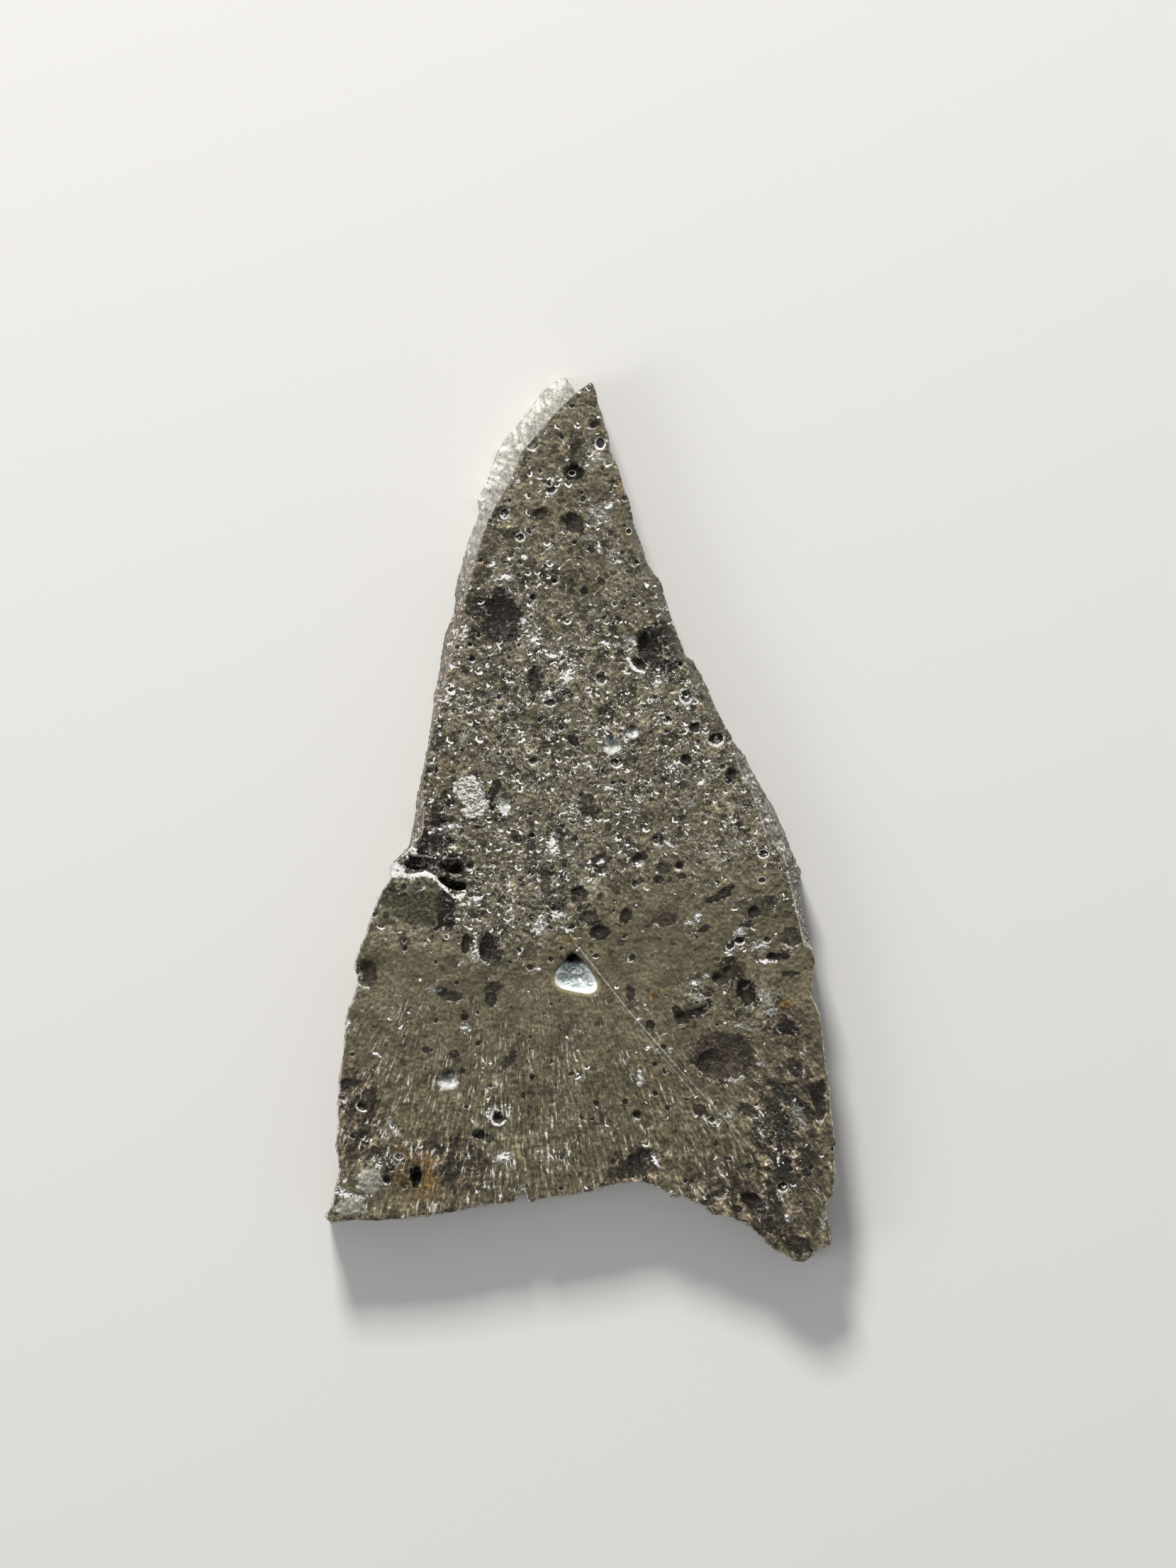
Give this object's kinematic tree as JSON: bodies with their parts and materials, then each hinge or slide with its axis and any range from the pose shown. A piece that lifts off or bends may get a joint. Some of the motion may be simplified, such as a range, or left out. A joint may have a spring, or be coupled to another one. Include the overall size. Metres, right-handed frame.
{
  "type": "lunar meteorite slice",
  "caption": "Thin sawn slice of dark lunar breccia with a pointed tip, broken edges, pits and vesicles, lying flat on its back.",
  "frame": {"origin": "under the middle of the slice's box, on the plane of its flat back", "axes": "+Z out of the pitted sawn face, +Y along the length towards the pointed tip, +X across the slice to the right of the face as seen with the tip up"},
  "size_m": [0.0144, 0.025, 0.0018],
  "materials": {
    "breccia": "matte"
  },
  "bodies": {
    "root": {"meteorite_slice": "breccia"}
  },
  "joints": []
}
